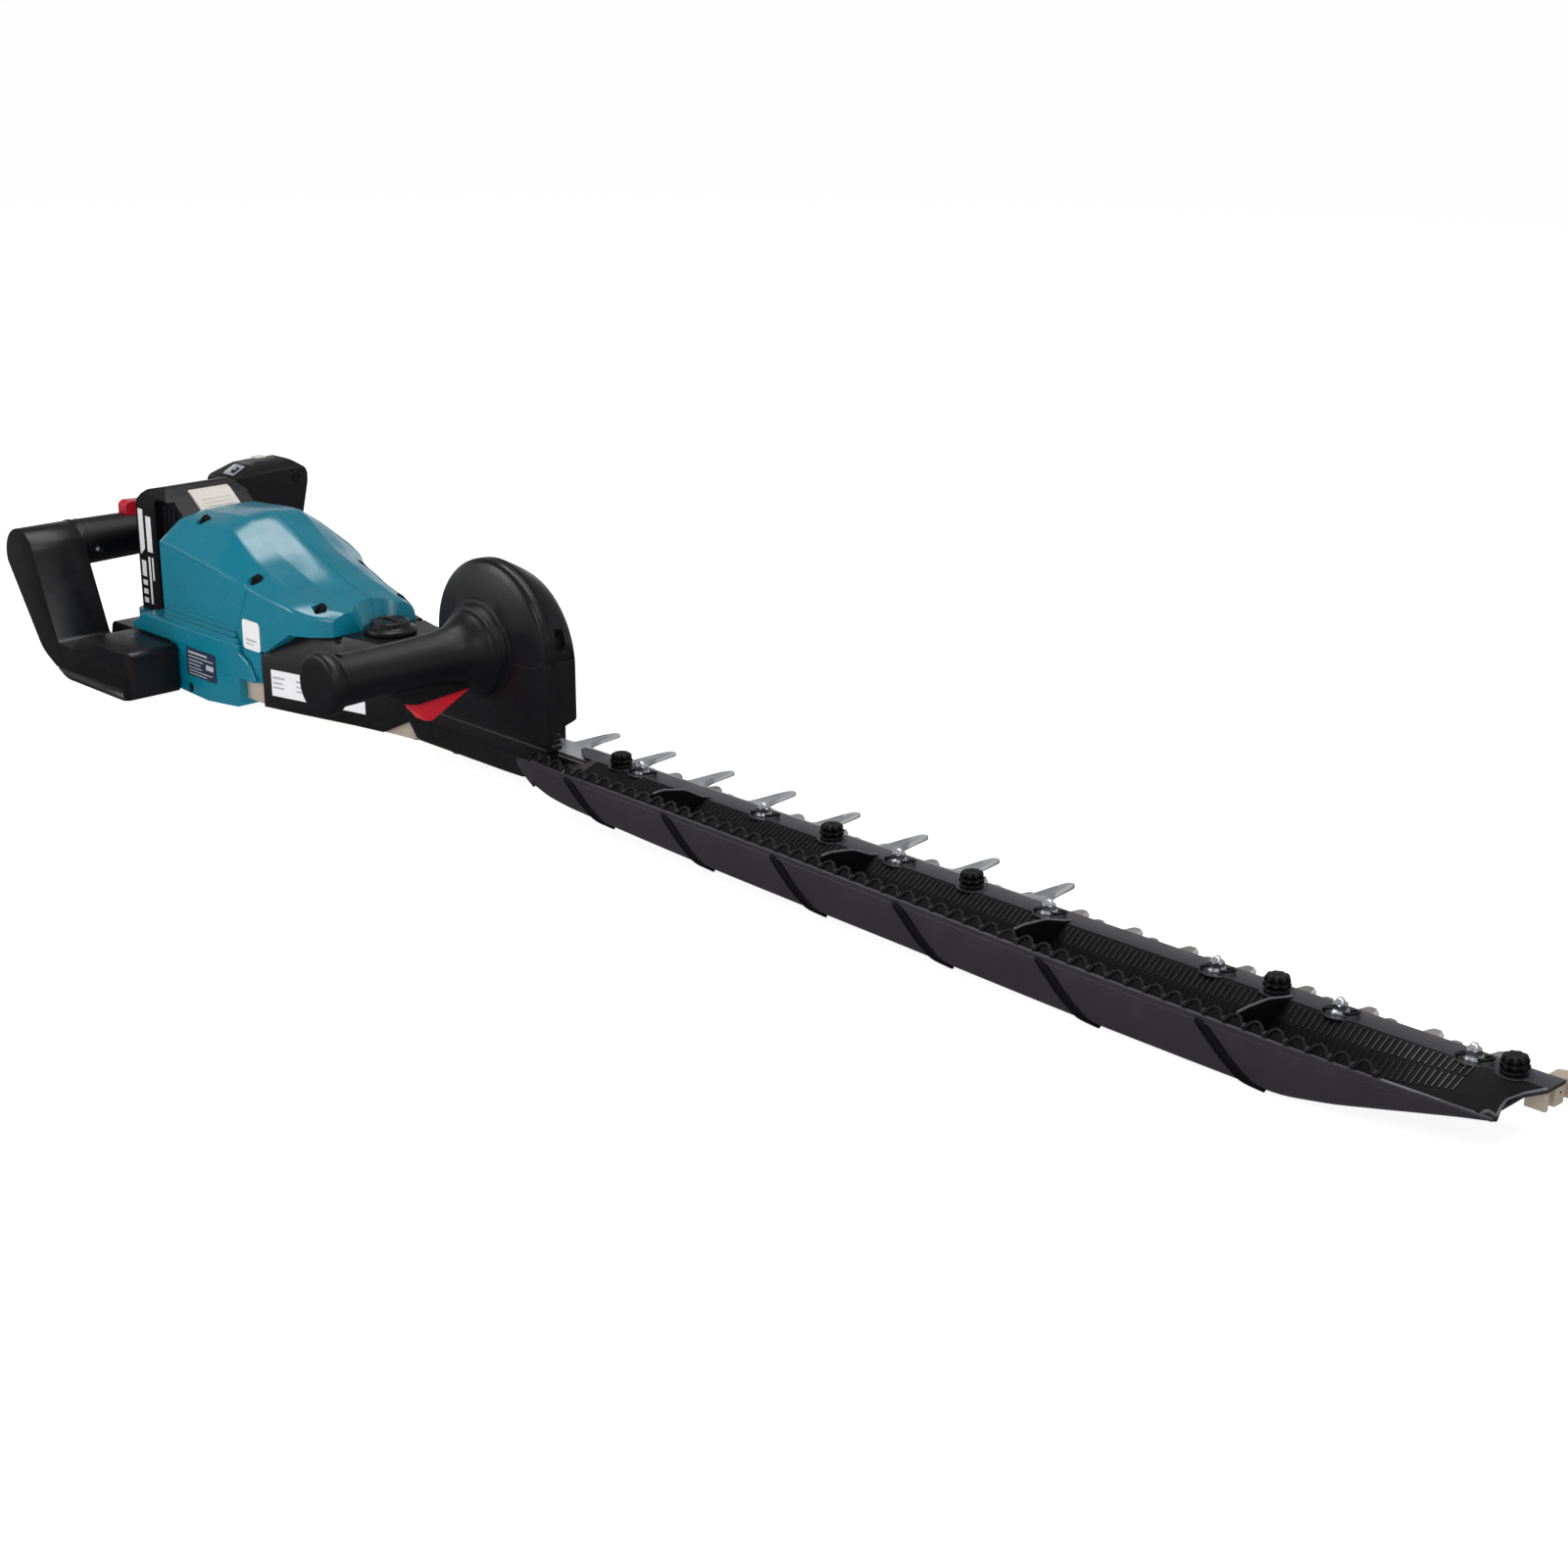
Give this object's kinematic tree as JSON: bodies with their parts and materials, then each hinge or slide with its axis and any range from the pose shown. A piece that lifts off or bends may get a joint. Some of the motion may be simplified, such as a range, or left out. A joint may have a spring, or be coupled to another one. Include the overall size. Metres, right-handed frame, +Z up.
{
  "type": "hedge trimmer",
  "caption": "Cordless single-sided hedge trimmer with a long toothed blade, a ribbed chip trough, a domed hand guard and a looped rear handle.",
  "frame": {"origin": "middle of the footprint on the ground", "axes": "+X along the blade towards its tip, +Y towards the side with the teeth, +Z up"},
  "size_m": [1.278, 0.284, 0.16],
  "materials": {
    "black_plastic": "satin black moulding",
    "teal_plastic": "glossy teal moulding",
    "nickel_steel": "nickel-plated, lightly brushed",
    "bright_zinc": "bright plated",
    "red_plastic": "semi-gloss red",
    "cast_alloy": "die-cast, satin",
    "pale_plastic": "satin off-white",
    "label_grey": "blank label film",
    "panel_grey": "satin",
    "button_black": "soft matt"
  },
  "bodies": {
    "frame": {"base_bracket": "black_plastic", "battery_terminal_block": "black_plastic", "blade_bolt_1": "bright_zinc", "blade_bolt_2": "bright_zinc", "blade_bolt_3": "bright_zinc", "blade_bolt_4": "bright_zinc", "blade_bolt_5": "bright_zinc", "blade_bolt_6": "bright_zinc", "blade_bolt_7": "bright_zinc", "chip_receiver": "black_plastic", "control_panel": "panel_grey", "cover_label": "label_grey", "finger_comb": "bright_zinc", "front_handle": "black_plastic", "front_handle_cap": "black_plastic", "gear_case": "cast_alloy", "gear_cover": "black_plastic", "guard_skirt": "black_plastic", "guide_bar": "nickel_steel", "hand_guard": "black_plastic", "housing_far_shell": "teal_plastic", "housing_near_shell": "teal_plastic", "lamp_pad": "pale_plastic", "motor_stator": "cast_alloy", "rating_plate": "label_grey", "rear_grip": "black_plastic", "rear_handle_cross": "black_plastic", "rear_handle_far_arm": "black_plastic", "rear_handle_near_arm": "black_plastic", "side_label": "pale_plastic", "tip_nose_block": "bright_zinc", "underside_bolt": "bright_zinc"},
    "upper_blade": {"upper_blade": "nickel_steel"},
    "lower_blade": {"lower_blade": "nickel_steel"},
    "crank": {"crank_gear": "nickel_steel"},
    "idler": {"idler_gear": "nickel_steel"},
    "rotor": {"motor_rotor": "nickel_steel"},
    "front_lever": {"front_lever": "red_plastic"},
    "rear_trigger": {"rear_trigger": "red_plastic"},
    "lock_off": {"lock_off_button": "red_plastic"},
    "power_button": {"power_button": "button_black"},
    "battery": {"battery_case": "black_plastic", "battery_label": "label_grey"},
    "battery_release": {"battery_release_button": "pale_plastic"},
    "grease_cap": {"grease_cap": "black_plastic"},
    "knob_1": {"receiver_knob_1": "black_plastic"},
    "knob_2": {"receiver_knob_2": "black_plastic"},
    "knob_3": {"receiver_knob_3": "black_plastic"},
    "knob_4": {"receiver_knob_4": "black_plastic"},
    "knob_5": {"receiver_knob_5": "black_plastic"}
  },
  "joints": [
    {"name": "upper_blade_slide", "type": "slide", "parent": "frame", "child": "upper_blade", "axis": [1, 0, 0], "range_m": [-0.004, 0.015]},
    {"name": "lower_blade_slide", "type": "slide", "parent": "frame", "child": "lower_blade", "axis": [1, 0, 0], "range_m": [-0.015, 0.004]},
    {"name": "rotor_spin", "type": "hinge", "parent": "frame", "child": "rotor", "pos_m": [-0.342, 0.035, 0.0485], "axis": [0, 0, 1], "continuous": true},
    {"name": "idler_spin", "type": "hinge", "parent": "frame", "child": "idler", "pos_m": [-0.312, 0.035, 0.0295], "axis": [0, 0, 1], "continuous": true},
    {"name": "crank_spin", "type": "hinge", "parent": "frame", "child": "crank", "pos_m": [-0.276, 0.035, 0.0405], "axis": [0, 0, 1], "continuous": true},
    {"name": "front_lever_squeeze", "type": "hinge", "parent": "frame", "child": "front_lever", "pos_m": [-0.112, -0.0315, 0.082], "axis": [-1, 0, 0], "range_deg": [0, 11], "stiffness_Nm_per_rad": 0.4, "springref_deg": -6.88},
    {"name": "rear_trigger_squeeze", "type": "hinge", "parent": "frame", "child": "rear_trigger", "pos_m": [-0.6035, 0.055, 0.0955], "axis": [0, 1, 0], "range_deg": [0, 9], "stiffness_Nm_per_rad": 0.4, "springref_deg": -6.88},
    {"name": "lock_off_press", "type": "slide", "parent": "frame", "child": "lock_off", "axis": [0, 0, -1], "range_m": [0, 0.003], "stiffness_N_per_m": 200, "springref_m": -0.002},
    {"name": "power_button_press", "type": "slide", "parent": "frame", "child": "power_button", "axis": [0, 0, -1], "range_m": [0, 0.0012], "stiffness_N_per_m": 60, "springref_m": -0.002},
    {"name": "battery_lift", "type": "slide", "parent": "frame", "child": "battery", "axis": [0, 0, 1], "range_m": [0, 0.12]},
    {"name": "battery_release_press", "type": "slide", "parent": "battery", "child": "battery_release", "axis": [0.8347, 0, -0.5506], "range_m": [0, 0.002], "stiffness_N_per_m": 150, "springref_m": -0.003},
    {"name": "grease_cap_turn", "type": "hinge", "parent": "frame", "child": "grease_cap", "pos_m": [-0.279, 0.032, 0.0745], "axis": [0, 0, 1], "continuous": true},
    {"name": "knob_1_turn", "type": "hinge", "parent": "frame", "child": "knob_1", "pos_m": [-0.032, 0.035, 0.0335], "axis": [0, 0, 1], "continuous": true},
    {"name": "knob_2_turn", "type": "hinge", "parent": "frame", "child": "knob_2", "pos_m": [0.161, 0.035, 0.0335], "axis": [0, 0, 1], "continuous": true},
    {"name": "knob_3_turn", "type": "hinge", "parent": "frame", "child": "knob_3", "pos_m": [0.273, 0.035, 0.0335], "axis": [0, 0, 1], "continuous": true},
    {"name": "knob_4_turn", "type": "hinge", "parent": "frame", "child": "knob_4", "pos_m": [0.482, 0.035, 0.0335], "axis": [0, 0, 1], "continuous": true},
    {"name": "knob_5_turn", "type": "hinge", "parent": "frame", "child": "knob_5", "pos_m": [0.618, 0.035, 0.0335], "axis": [0, 0, 1], "continuous": true}
  ],
  "couplings": [
    {"joint": "lower_blade_slide", "follows": "upper_blade_slide", "ratio": -1},
    {"joint": "idler_spin", "follows": "rotor_spin", "ratio": -0.36364},
    {"joint": "crank_spin", "follows": "rotor_spin", "ratio": 0.12121}
  ]
}
